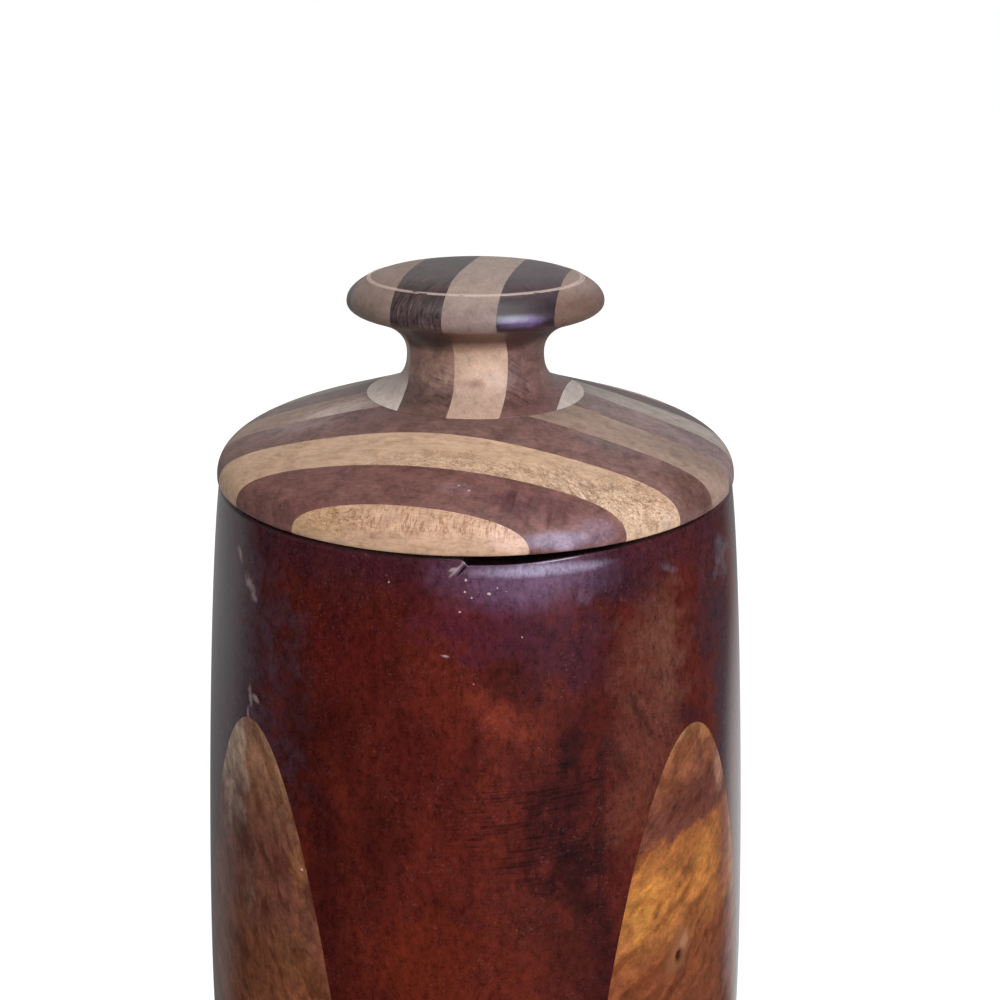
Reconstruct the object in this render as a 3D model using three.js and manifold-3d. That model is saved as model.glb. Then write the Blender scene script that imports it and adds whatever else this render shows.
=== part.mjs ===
// Lidded wooden vase, glued up from blocks and strips of two woods and turned on a lathe.
// Millimetres, +Z up. The table is z = 0, the turning axis is x = y = 0 and the front faces -Y.
// The body is a core block, a little out of square, with a plank glued on each side. Where the
// turned belly swells past the glue faces, the planks are left as four pointed leaves.
// The lid is eleven strips glued side by side, and the knob is six more set across them.

import * as THREE from 'three';
import { mergeVertices } from 'three/addons/utils/BufferGeometryUtils.js';
import Module from 'manifold-3d';

const wasm = await Module();
wasm.setup();

// Driving dimensions. A run is how far a curve keeps the direction that it starts or ends with.

// The outside of the body, with heights from the table
const bodyHeight = 264;
const rimRadius = 60.1;
const rimRounding = 1.5;
const neckLean = 3.9;
const neckRun = 26;
const bellySwell = 9.3;
const bellyHeight = 119;
const bellyRunUp = 32;
const bellyRunDown = 44;
const footRadius = 50;
const footRounding = 3;
const footLean = 9;
const footRun = 34;
const footRingWidth = 6;
const footRecess = 3;

// The hollow inside the body
const rimWall = 8.5;
const mouthChamfer = 0.8;
const mouthLand = 16;
const bellyWall = 12.4;
const hollowRun = 40;
const floorThickness = 12;
const floorRadius = 32;
const floorCornerRun = 22;

// The planks: their thickness where the belly is widest, which way the two front ones face, and
// how far each glue face leans out towards the rim. The back ones face away from the front ones.
const plankThickness = 7;
const leftPlankTurn = THREE.MathUtils.degToRad(-49.6);
const rightPlankTurn = THREE.MathUtils.degToRad(46.8);
const glueFaceLean = THREE.MathUtils.degToRad(1.1);
const glueLine = 0.1;

// The lid, with heights from the face that sits on the rim
const seatClearance = 0.3;
const lidOverhang = 0.2;
const lidEdgeRounding = 0.7;
const lidRise = 18.3;
const lidThickness = 9;
const shoulderInset = 19.6;
const shoulderRunUp = 6.3;
const shoulderRunIn = 14;
const flankSlope = THREE.MathUtils.degToRad(17.4);
const spigotClearance = 0.5;
const spigotDepth = 10;
const spigotWall = 7;
const spigotChamfer = 0.8;
const dishLand = 1.5;
const dishRunUp = 4;
const dishRunIn = 24;

// The lid's strips from front to back, with full ones between the two ends, and their turn
const lidFrontStrip = 5.4;
const lidFullStrips = 9;
const lidBackStrip = 7.2;
const lidTurn = THREE.MathUtils.degToRad(-14.3);

// The knob, each height from the one before it, starting at the glued face
const knobFootRadius = 25.2;
const knobFootRunIn = 6.2;
const knobFootRunUp = 6.4;
const waistRadius = 15.8;
const waistHeight = 9.4;
const waistRunUp = 5.9;
const capRadius = 29.3;
const lipInset = 2.6;
const lipRise = 9.4;
const lipSlope = THREE.MathUtils.degToRad(19);
const lipRunIn = 5;
const lipRunOut = 1.2;
const capRunDown = 1.3;
const capRise = 2.5;
const capRunUp = 1.3;
const ridgeInset = 4.5;
const ridgeRise = 5.1;
const ridgeSlope = THREE.MathUtils.degToRad(27);
const ridgeRun = 4.6;
const crownRise = 2.7;
const crownRunOut = 5.4;
const crownRunIn = 12;

// The knob's strips from left to right. The full ones differ a little from their average width.
const knobLeftStrip = 3.8;
const knobStripUnevenness = [0.4, 0.2, -0.2, -0.4];
const knobRightStrip = 8.4;
const knobTurn = THREE.MathUtils.degToRad(-10.9);

// Facets round the turned shapes, and along the curved stretches of their outlines
const bodyFacets = 60;
const knobFacets = 48;
const longCurve = 8;
const shortCurve = 5;
const tightCurve = 3;

// Sizes that follow
const bellyRadius = rimRadius + bellySwell;
const mouthRadius = rimRadius - rimWall;
const coreHalfWidth = bellyRadius - plankThickness;
const lidRadius = rimRadius + lidOverhang;
const wellPast = 2.5 * bodyHeight;

// Woods
function wood(name, color, roughness) {
  return new THREE.MeshStandardMaterial({ name, color, roughness, metalness: 0 });
}

const coreWood = wood('dark_red_wood', 0x5c2521, 0.38);
const plankWood = wood('golden_brown_wood', 0x8f5a39, 0.42);
const darkStripWood = wood('dark_strip_wood', 0x74504c, 0.45);
const paleStripWood = wood('pale_strip_wood', 0xc19d80, 0.5);

function point(radius, height) {
  return new THREE.Vector2(radius, height);
}

// A point some way from another, at an angle above the outward direction
function away(from, angle, distance) {
  return point(from.x + Math.cos(angle) * distance, from.y + Math.sin(angle) * distance);
}

// A smooth stretch of an outline between two points, bent by a handle at each end
function bend(start, startHandle, endHandle, end, steps) {
  const curve = new THREE.CubicBezierCurve(start, startHandle, endHandle, end);
  return curve.getPoints(steps).slice(1);
}

// A corner rounded off between two points
function rounded(start, corner, end) {
  const curve = new THREE.QuadraticBezierCurve(start, corner, end);
  return curve.getPoints(tightCurve).slice(1);
}

// A closed mesh becomes a solid that can be joined and cut, once its shared corners are merged
function solidFrom(geometry) {
  const bare = geometry.clone();
  bare.deleteAttribute('normal');
  bare.deleteAttribute('uv');
  const merged = mergeVertices(bare, 1e-5);
  const corners = merged.getIndex().array;
  const triangles = [];
  for (let i = 0; i < corners.length; i += 3) {
    const [a, b, c] = corners.slice(i, i + 3);
    const isFlat = a === b || b === c || c === a;
    if (!isFlat) triangles.push(a, b, c);
  }
  return new wasm.Manifold(new wasm.Mesh({
    numProp: 3,
    vertProperties: new Float32Array(merged.getAttribute('position').array),
    triVerts: new Uint32Array(triangles),
  }));
}

function geometryFrom(solid) {
  const mesh = solid.getMesh();
  const geometry = new THREE.BufferGeometry();
  geometry.setAttribute('position', new THREE.BufferAttribute(mesh.vertProperties, 3));
  geometry.setIndex(new THREE.BufferAttribute(mesh.triVerts, 1));
  geometry.computeVertexNormals();
  return geometry;
}

// A turned solid about Z, from an outline that starts and ends on the axis
function turned(outline, facets) {
  const geometry = new THREE.LatheGeometry(outline, facets);
  geometry.rotateX(Math.PI / 2);
  return solidFrom(geometry);
}

// The space between two planes, at distances from the axis along a direction. They are upright,
// or lean out from a height upwards.
function slab(direction, near, far, lean = 0, height = 0) {
  const geometry = new THREE.BoxGeometry(far - near, wellPast, wellPast);
  geometry.translate((near + far) / 2, 0, 0);
  geometry.rotateY(lean);
  geometry.translate(0, 0, height);
  geometry.rotateZ(direction);
  return solidFrom(geometry);
}

// Where the joints fall across a round blank: its first and last strips are set, and the full
// ones share what is left, each with its own small difference from their average width
function jointsAcross(radius, firstStrip, lastStrip, unevenness) {
  const average = (2 * radius - firstStrip - lastStrip) / unevenness.length;
  const joints = [firstStrip - radius];
  for (const difference of unevenness) {
    joints.push(joints.at(-1) + average + difference);
  }
  return joints;
}

// The strips that a blank is glued up from, with half a glue line off each side of a joint
function stripsOf(blank, direction, joints) {
  const starts = [-wellPast, ...joints.map((joint) => joint + glueLine / 2)];
  const ends = [...joints.map((joint) => joint - glueLine / 2), wellPast];
  return starts.map((start, i) => blank.intersect(slab(direction, start, ends[i])));
}

function piece(name, solid, material) {
  const mesh = new THREE.Mesh(geometryFrom(solid), material);
  mesh.name = name;
  return mesh;
}

// The direction that a turn from the front points in, as an angle from +X
function facing(turn) {
  return turn - Math.PI / 2;
}

// Body: outside from the foot to the rim, then inside from the mouth to the floor
function bodyBlank() {
  const ringOuter = footRadius - footRounding;
  const ringInner = ringOuter - footRingWidth;
  const footEdge = point(ringOuter, 0);
  const footTop = point(footRadius, footRounding);
  const belly = point(bellyRadius, bellyHeight);
  const rimEdge = point(rimRadius, bodyHeight - rimRounding);
  const rimTop = point(rimRadius - rimRounding, bodyHeight);
  const landEnd = point(mouthRadius, bodyHeight - mouthLand);
  const hollow = point(bellyRadius - bellyWall, bellyHeight);
  const floorEdge = point(floorRadius, footRecess + floorThickness);
  return turned([
    point(0, footRecess),
    point(ringInner - footRecess, footRecess),
    point(ringInner, 0),
    footEdge,
    ...rounded(footEdge, point(footRadius, 0), footTop),
    ...bend(footTop, point(footRadius + footLean, footRounding + footRun),
      point(bellyRadius, bellyHeight - bellyRunDown), belly, longCurve),
    ...bend(belly, point(bellyRadius, bellyHeight + bellyRunUp),
      point(rimRadius + neckLean, rimEdge.y - neckRun), rimEdge, longCurve),
    ...rounded(rimEdge, point(rimRadius, bodyHeight), rimTop),
    point(mouthRadius + mouthChamfer, bodyHeight),
    point(mouthRadius, bodyHeight - mouthChamfer),
    landEnd,
    ...bend(landEnd, point(mouthRadius, landEnd.y - hollowRun),
      point(hollow.x, hollow.y + hollowRun), hollow, shortCurve),
    ...bend(hollow, point(hollow.x, hollow.y - hollowRun),
      point(floorRadius + floorCornerRun, floorEdge.y), floorEdge, longCurve),
    point(0, floorEdge.y),
  ], bodyFacets);
}

// The core is what the four glue faces leave, and each plank is what lies outside its own face
function makeBody() {
  const body = new THREE.Group();
  const blank = bodyBlank();
  const left = facing(leftPlankTurn);
  const right = facing(rightPlankTurn);
  const sides = {
    front_left: left,
    front_right: right,
    back_right: left + Math.PI,
    back_left: right + Math.PI,
  };
  const pastFace = (direction, distance) =>
    slab(direction, distance, wellPast, glueFaceLean, bellyHeight);
  let core = blank;
  for (const [side, direction] of Object.entries(sides)) {
    const plank = blank.intersect(pastFace(direction, coreHalfWidth + glueLine / 2));
    body.add(piece(`side_plank_${side}`, plank, plankWood));
    core = core.subtract(pastFace(direction, coreHalfWidth - glueLine / 2));
  }
  body.add(piece('body_core', core, coreWood));
  return body;
}

// Lid: domed on top, with a flange for the rim, a spigot for the mouth and a dished underside
function lidBlank() {
  const spigotOuter = mouthRadius - spigotClearance;
  const spigotInner = spigotOuter - spigotWall;
  const flangeEdge = point(lidRadius - lidEdgeRounding, 0);
  const edge = point(lidRadius, lidEdgeRounding);
  const shoulderRadius = lidRadius - shoulderInset;
  const flankWidth = shoulderRadius - knobFootRadius;
  const shoulder = point(shoulderRadius, lidRise - Math.tan(flankSlope) * flankWidth);
  const dishTop = point(0, lidRise - lidThickness);
  const dishEdge = point(spigotInner, dishLand);
  return turned([
    dishTop,
    ...bend(dishTop, point(dishRunIn, dishTop.y), point(spigotInner, dishLand + dishRunUp),
      dishEdge, shortCurve),
    point(spigotInner, spigotChamfer - spigotDepth),
    point(spigotInner + spigotChamfer, -spigotDepth),
    point(spigotOuter - spigotChamfer, -spigotDepth),
    point(spigotOuter, spigotChamfer - spigotDepth),
    point(spigotOuter, 0),
    flangeEdge,
    ...rounded(flangeEdge, point(lidRadius, 0), edge),
    ...bend(edge, point(lidRadius, edge.y + shoulderRunUp),
      away(shoulder, -flankSlope, shoulderRunIn), shoulder, longCurve),
    point(knobFootRadius, lidRise),
    point(0, lidRise),
  ], bodyFacets);
}

function makeLidStrips() {
  const strips = new THREE.Group();
  const evenStrips = Array(lidFullStrips).fill(0);
  const joints = jointsAcross(lidRadius, lidFrontStrip, lidBackStrip, evenStrips);
  const towardsBack = facing(lidTurn) + Math.PI;
  stripsOf(lidBlank(), towardsBack, joints).forEach((strip, i) => {
    const name = `lid_strip_${String(i + 1).padStart(2, '0')}`;
    strips.add(piece(name, strip, i % 2 === 0 ? paleStripWood : darkStripWood));
  });
  return strips;
}

// Knob: a spreading foot, a narrow waist for the fingers, and a cap with a ridge round its crown
function knobBlank() {
  const foot = point(knobFootRadius, 0);
  const waist = point(waistRadius, waistHeight);
  const lip = point(capRadius - lipInset, waist.y + lipRise);
  const widest = point(capRadius, lip.y + capRise);
  const ridge = point(capRadius - ridgeInset, widest.y + ridgeRise);
  const crown = point(0, ridge.y + crownRise);
  return turned([
    point(0, 0),
    foot,
    ...bend(foot, away(foot, Math.PI - flankSlope, knobFootRunIn),
      point(waistRadius, waist.y - knobFootRunUp), waist, shortCurve),
    ...bend(waist, point(waistRadius, waist.y + waistRunUp),
      away(lip, Math.PI + lipSlope, lipRunIn), lip, shortCurve),
    ...bend(lip, away(lip, lipSlope, lipRunOut),
      point(capRadius, widest.y - capRunDown), widest, tightCurve),
    ...bend(widest, point(capRadius, widest.y + capRunUp),
      away(ridge, -ridgeSlope, ridgeRun), ridge, shortCurve),
    ...bend(ridge, away(ridge, Math.PI - ridgeSlope, crownRunOut),
      point(crownRunIn, crown.y), crown, shortCurve),
  ], knobFacets);
}

// A strip that the waist cuts through is left in two: its share of the cap and a tongue on the foot
function makeKnobStrips() {
  const strips = new THREE.Group();
  const joints = jointsAcross(capRadius, knobLeftStrip, knobRightStrip, knobStripUnevenness);
  stripsOf(knobBlank(), knobTurn, joints).forEach((strip, i) => {
    const name = `knob_strip_${i + 1}`;
    const material = i % 2 === 0 ? darkStripWood : paleStripWood;
    const bodies = strip.decompose();
    bodies.sort((a, b) => b.boundingBox().max[2] - a.boundingBox().max[2]);
    const ends = bodies.length > 1 ? ['_cap', '_foot'] : [''];
    bodies.forEach((body, j) => strips.add(piece(name + ends[j], body, material)));
  });
  return strips;
}

function makeLid() {
  const lid = new THREE.Group();
  lid.add(makeLidStrips());
  const knob = makeKnobStrips();
  knob.position.z = lidRise + glueLine;
  lid.add(knob);
  lid.position.z = bodyHeight + seatClearance;
  return lid;
}

const vase = new THREE.Group();
vase.add(makeBody());
vase.add(makeLid());

export default vase;
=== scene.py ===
import math

import bmesh
import bpy
from mathutils import Matrix, Vector
from mathutils.geometry import interpolate_bezier


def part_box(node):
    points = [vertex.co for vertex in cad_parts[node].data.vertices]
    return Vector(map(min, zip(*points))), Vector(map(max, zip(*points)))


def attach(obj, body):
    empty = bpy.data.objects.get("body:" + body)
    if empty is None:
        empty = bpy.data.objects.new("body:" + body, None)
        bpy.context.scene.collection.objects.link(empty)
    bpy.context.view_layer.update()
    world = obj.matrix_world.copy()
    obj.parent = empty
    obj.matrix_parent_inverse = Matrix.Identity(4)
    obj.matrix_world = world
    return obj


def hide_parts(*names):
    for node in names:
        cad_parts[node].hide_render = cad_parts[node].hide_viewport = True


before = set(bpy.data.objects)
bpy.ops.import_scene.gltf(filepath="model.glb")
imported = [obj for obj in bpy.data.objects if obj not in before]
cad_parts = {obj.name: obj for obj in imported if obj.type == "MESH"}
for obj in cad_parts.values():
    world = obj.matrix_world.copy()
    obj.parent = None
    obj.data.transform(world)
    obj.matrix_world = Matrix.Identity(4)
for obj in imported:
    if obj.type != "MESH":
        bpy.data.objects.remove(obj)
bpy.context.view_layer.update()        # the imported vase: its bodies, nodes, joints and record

# Body core: one square block of dark red-brown hardwood, turned round outside and bored out inside. It is
# sanded along the lathe marks and rubbed with dark wax, and it stands on a narrow turned ring.
MM = 0.001
rim_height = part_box("body_core")[1].z
rim_radius = 60.1 * MM
rim_rounding = 1.5 * MM
belly_radius = 69.4 * MM
belly_height = 119 * MM
foot_radius = 50 * MM
foot_rounding = 3 * MM
ring_width = 6 * MM
foot_recess = 3 * MM
mouth_radius = 51.6 * MM
mouth_chamfer = 0.8 * MM
mouth_land = 16 * MM
hollow_radius = 57 * MM
hollow_run = 40 * MM
floor_radius = 32 * MM
floor_corner = 22 * MM
floor_height = 15 * MM
body_facets = 480


def bend(start, first_pull, second_pull, end, steps):
    """The points of one smooth stretch of an outline, after its start. A point is a radius and a height."""
    knots = [Vector((radius, 0, height)) for radius, height in (start, first_pull, second_pull, end)]
    return [(point.x, point.z) for point in interpolate_bezier(*knots, steps + 1)[1:]]


def rounded(start, corner, end):
    """A rounded corner of an outline, from start to end."""
    pulls = [Vector(side).lerp(Vector(corner), 2 / 3) for side in (start, end)]
    return bend(start, pulls[0], pulls[1], end, 6)


def away(start, degrees, distance):
    """The point at a distance from start, at an angle above the outward direction."""
    angle = math.radians(degrees)
    return (start[0] + math.cos(angle) * distance, start[1] + math.sin(angle) * distance)


sharp_edge = math.radians(28)


def turned(outline, facets):
    """The solid that the lathe leaves. The outline runs from axis to axis, and it is spun a quarter round Z
    and copied on."""
    solid = bmesh.new()
    corners = [solid.verts.new((radius, 0, height)) for radius, height in outline]
    sides = [solid.edges.new(pair) for pair in zip(corners, corners[1:])]
    bmesh.ops.spin(solid, geom=corners + sides, cent=(0, 0, 0), axis=(0, 0, 1),
                   angle=math.tau / 4, steps=facets // 4, use_merge=False)
    quarter = solid.verts[:] + solid.edges[:] + solid.faces[:]
    for number in (1, 2, 3):
        copied = bmesh.ops.duplicate(solid, geom=quarter)["geom"]
        verts = [part for part in copied if isinstance(part, bmesh.types.BMVert)]
        turn = Matrix.Rotation(number * math.tau / 4, 3, "Z")
        bmesh.ops.rotate(solid, verts=verts, cent=(0, 0, 0), matrix=turn)
    bmesh.ops.remove_doubles(solid, verts=solid.verts, dist=0.001 * MM)
    bmesh.ops.recalc_face_normals(solid, faces=solid.faces)
    for face in solid.faces:
        face.smooth = True
    for edge in solid.edges:
        edge.smooth = edge.calc_face_angle(0) < sharp_edge
    return solid


def body_outline():
    ring_outer = foot_radius - foot_rounding
    ring_inner = ring_outer - ring_width
    foot_top = (foot_radius, foot_rounding)
    belly = (belly_radius, belly_height)
    rim_edge = (rim_radius, rim_height - rim_rounding)
    rim_top = (rim_radius - rim_rounding, rim_height)
    land_end = (mouth_radius, rim_height - mouth_land)
    hollow = (hollow_radius, belly_height)
    floor_edge = (floor_radius, floor_height)
    return [
        (0, foot_recess),
        (ring_inner - foot_recess, foot_recess),
        (ring_inner, 0),
        (ring_outer, 0),
        *rounded((ring_outer, 0), (foot_radius, 0), foot_top),
        *bend(foot_top, (foot_radius + 9 * MM, 37 * MM),
              (belly_radius, 75 * MM), belly, 32),
        *bend(belly, (belly_radius, 151 * MM),
              (rim_radius + 3.9 * MM, rim_edge[1] - 26 * MM), rim_edge, 48),
        *rounded(rim_edge, (rim_radius, rim_height), rim_top),
        (mouth_radius + 2.5 * MM, rim_height),
        (mouth_radius + mouth_chamfer, rim_height),
        (mouth_radius, rim_height - mouth_chamfer),
        land_end,
        *bend(land_end, (mouth_radius, land_end[1] - hollow_run),
              (hollow_radius, belly_height + hollow_run), hollow, 14),
        *bend(hollow, (hollow_radius, belly_height - hollow_run),
              (floor_radius + floor_corner, floor_height), floor_edge, 18),
        (0, floor_height),
    ]


def smooth_step(value, low, high):
    """0 up to low, 1 from high, smooth between."""
    share = min(1, max(0, (value - low) / (high - low)))
    return share * share * (3 - 2 * share)


def azimuth(point):
    """Degrees round the vase, from 0 at the front to 90 at the right."""
    return math.degrees(math.atan2(point.x, -point.y))


def wear_rim(solid):
    """The rim has worn low and sharp at the front, from a chip on the left, so the lid leaves a dark gap.
    Kept is how much is left of the rim's rounding."""
    chip_depth = 0.8 * MM
    wear_depth = 0.75 * MM
    kept_least = 0.3
    worn_degrees = 60
    for vert in solid.verts:
        turn = azimuth(vert.co)
        if vert.co.z < rim_height - rim_rounding - 0.01 * MM or abs(turn) > worn_degrees:
            continue
        chip = chip_depth * (1 - smooth_step(turn, 5, 22))
        wear = wear_depth * (1 - smooth_step(turn, 18, 43))
        drop = smooth_step(turn, -2.7, -1.5) * (chip + wear)
        kept = 1 - (1 - kept_least) * min(1, drop / wear_depth)
        inset = rim_radius - vert.co.xy.length
        if 0 < inset < rim_rounding:
            vert.co.xy *= (rim_radius - inset * kept) / vert.co.xy.length
        vert.co.z = rim_height - drop - (rim_height - vert.co.z) * kept


def sawn(blank, cuts):
    """A copy of a blank without what lies past each cut. A cut is a direction and a distance."""
    piece = blank.copy()
    for direction, distance in cuts:
        everything = piece.verts[:] + piece.edges[:] + piece.faces[:]
        cut = bmesh.ops.bisect_plane(piece, geom=everything, dist=0.0001 * MM, clear_outer=True,
                                     plane_co=direction * distance, plane_no=direction)
        edges = [part for part in cut["geom_cut"] if isinstance(part, bmesh.types.BMEdge)]
        for edge in edges:
            edge.smooth = False
        bmesh.ops.edgeloop_fill(piece, edges=edges)
    return piece


def heading(degrees):
    """The level direction at an azimuth."""
    return Vector((math.sin(math.radians(degrees)), -math.cos(math.radians(degrees)), 0))


def finished(name, solid, node, body, material):
    """Shows a solid in place of the frame's node."""
    mesh = bpy.data.meshes.new(name)
    bmesh.ops.recalc_face_normals(solid, faces=solid.faces)
    solid.to_mesh(mesh)
    solid.free()
    mesh.materials.append(material)
    piece = bpy.data.objects.new(name, mesh)
    bpy.context.scene.collection.objects.link(piece)
    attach(piece, body)
    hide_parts(node)


def tint(red, green, blue):
    """A colour as a screen shows it, from 0 to 255, as the shader wants it."""
    shares = [level / 255 for level in (red, green, blue)]
    linear = [share / 12.92 if share <= 0.04045 else ((share + 0.055) / 1.055) ** 2.4 for share in shares]
    return linear + [1]


def shader_node(tree, kind, inputs=None, **settings):
    """Adds a node. Each input is a value or another node's socket."""
    made = tree.nodes.new("ShaderNode" + kind)
    for setting, value in settings.items():
        setattr(made, setting, value)
    for socket, value in (inputs or {}).items():
        if isinstance(value, bpy.types.NodeSocket):
            tree.links.new(value, made.inputs[socket])
        else:
            made.inputs[socket].default_value = value
    return made


class Finish:
    """The shader nodes of one finish, all read from the piece's own coordinates in the vase. Grit makes the
    edges of marks ragged, and shaken is the place with a fine shake, for the outlines of specks."""

    def __init__(self, name):
        self.material = bpy.data.materials.new(name)
        self.material.use_nodes = True
        self.tree = self.material.node_tree
        self.tree.nodes.clear()
        self.place = self.node("TexCoord").outputs["Object"]
        self.grit = self.maths("SUBTRACT", self.noise((5, 5, 5), 0.7, detail=4.0, rough=0.6), 0.5)
        crumbs = self.node("TexNoise", {"Vector": self.measured((0.7, 0.7, 0.7)), "Scale": 1.0})
        shake = self.node("VectorMath", {0: crumbs.outputs[1], 1: (0.5, 0.5, 0.5)}, operation="SUBTRACT")
        shake = self.node("VectorMath", {0: shake.outputs[0], "Scale": 0.5 * MM}, operation="SCALE")
        self.shaken = self.node("VectorMath", {0: self.place, 1: shake.outputs[0]}).outputs[0]

    def node(self, kind, inputs=None, **settings):
        return shader_node(self.tree, kind, inputs, **settings)

    def measured(self, size, centre=(0, 0, 0), turn=0, tip=0):
        """The place from centre, counted in lengths of size in mm. The first axis is turned about Z, and
        then tipped down to the right as it is seen from outside."""
        return self.node("Mapping", {"Vector": self.place, "Location": centre,
                                     "Scale": [side * MM for side in size],
                                     "Rotation": (0, math.radians(tip), math.radians(turn))},
                         vector_type="TEXTURE").outputs[0]

    def noise(self, size, seed, turn=0, tip=0, detail=2.0, rough=0.5, warp=0.0):
        """Soft noise with features of about that size in mm."""
        return self.node("TexNoise", {"Vector": self.measured(size, turn=turn, tip=tip), "W": seed,
                                      "Scale": 1.0, "Detail": detail, "Roughness": rough,
                                      "Distortion": warp},
                         noise_dimensions="4D").outputs[0]

    def maths(self, operation, first, second=0.0):
        return self.node("Math", {0: first, 1: second}, operation=operation).outputs[0]

    def times(self, first, second):
        return self.maths("MULTIPLY", first, second)

    def step(self, value, low, high, most=1.0):
        """0 up to low, most from high, smooth between. With low above high it falls instead."""
        if low > high:
            return self.maths("SUBTRACT", most, self.step(value, high, low, most))
        return self.node("MapRange", {"Value": value, "From Min": low, "From Max": high, "To Max": most},
                         interpolation_type="SMOOTHSTEP").outputs[0]

    def spot(self, centre, size, turn=0, tip=0, ragged=1.4):
        """1 round centre, falling to 0 at size in mm, with a ragged edge."""
        place = self.measured(size, centre, turn, tip)
        far = self.node("VectorMath", {0: place}, operation="LENGTH").outputs[1]
        far = self.maths("ADD", far, self.times(self.grit, ragged))
        return self.step(far, 1.0, 0.3)

    def mix(self, share, under, over, how="MIX"):
        return self.node("Mix", {0: share, 6: under, 7: over},
                         data_type="RGBA", blend_type=how).outputs[2]

    def shade(self, colour, share, factor):
        """Multiplies a colour by a factor for each of red, green and blue."""
        return self.mix(share, colour, (*factor, 1), "MULTIPLY")

    def mottled(self, colour, noise, strength):
        """Lightens and darkens a colour by a noise. Where the noise is 0.5 the colour stays as it is."""
        value = self.maths("ADD", self.times(noise, 2 * strength), 1 - strength)
        value = self.maths("MAXIMUM", value, 0.2)
        return self.node("HueSaturation", {"Color": colour, "Value": value}).outputs[0]

    def bands(self, value, stops):
        """A tone for each value in mm, blended from stop to stop."""
        low, high = stops[0][0], stops[-1][0]
        share = self.node("MapRange", {"Value": value, "From Min": low * MM, "From Max": high * MM})
        ramp = self.node("ValToRGB", {0: share.outputs[0]})
        marks = ramp.color_ramp.elements
        marks[0].color, marks[1].color = stops[0][1], stops[-1][1]
        for level, tone in stops[1:-1]:
            marks.new((level - low) / (high - low)).color = tone
        return ramp.outputs[0]

    def contours(self, noise, count, width):
        """Thin lines where a noise passes even steps, as the growth rings of swirly wood show."""
        rings = self.maths("PINGPONG", self.times(noise, count), 0.5)
        return self.step(rings, width, 0.0)

    def zone(self, colour, centre, size, tone, share, turn=0, tip=0, ragged=1.4):
        """Lays a tone over the wood round a place."""
        return self.mix(self.times(self.spot(centre, size, turn, tip, ragged), share), colour, tone)

    def specks(self, colour, places, tone):
        """Lays small crisp specks over the wood. A place is a centre and a radius in mm."""
        for centre, radius in places:
            far = self.node("VectorMath", {0: self.shaken, 1: centre}, operation="DISTANCE").outputs[1]
            colour = self.mix(self.step(far, radius * MM, radius * 0.6 * MM, 0.85), colour, tone)
        return colour

    def height(self, ragged=0.0):
        """The height in the vase, with its levels made uneven by about that much in mm."""
        level = self.node("SeparateXYZ", {0: self.place}).outputs[2]
        return self.maths("ADD", level, self.times(self.grit, ragged * MM))

    def done(self, colour, roughness, relief, gloss, polish=0.0):
        """Closes the shader. Relief is the surface's height in mm, gloss is the specular level, and polish
        is how much of a smooth wax film lies over the wood."""
        bump = self.node("Bump", {"Height": relief, "Strength": 1.0, "Distance": MM})
        shader = self.node("BsdfPrincipled", {"Base Color": colour, "Roughness": roughness,
                                              "Normal": bump.outputs[0], "Specular IOR Level": gloss,
                                              "Coat Weight": polish, "Coat Roughness": 0.14})
        self.node("OutputMaterial", {"Surface": shader.outputs[0]})
        return self.material


def wall(level):
    """About the radius of the body's upper wall at a height in mm."""
    rise = (level * MM - belly_height) / (rim_height - belly_height)
    return belly_radius - (belly_radius - rim_radius) * rise ** 1.9


def on_body(degrees, height, radius=65 * MM):
    """A point of the body's wall, to place a mark by. The height is in mm."""
    return heading(degrees) * radius + Vector((0, 0, height * MM))


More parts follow.
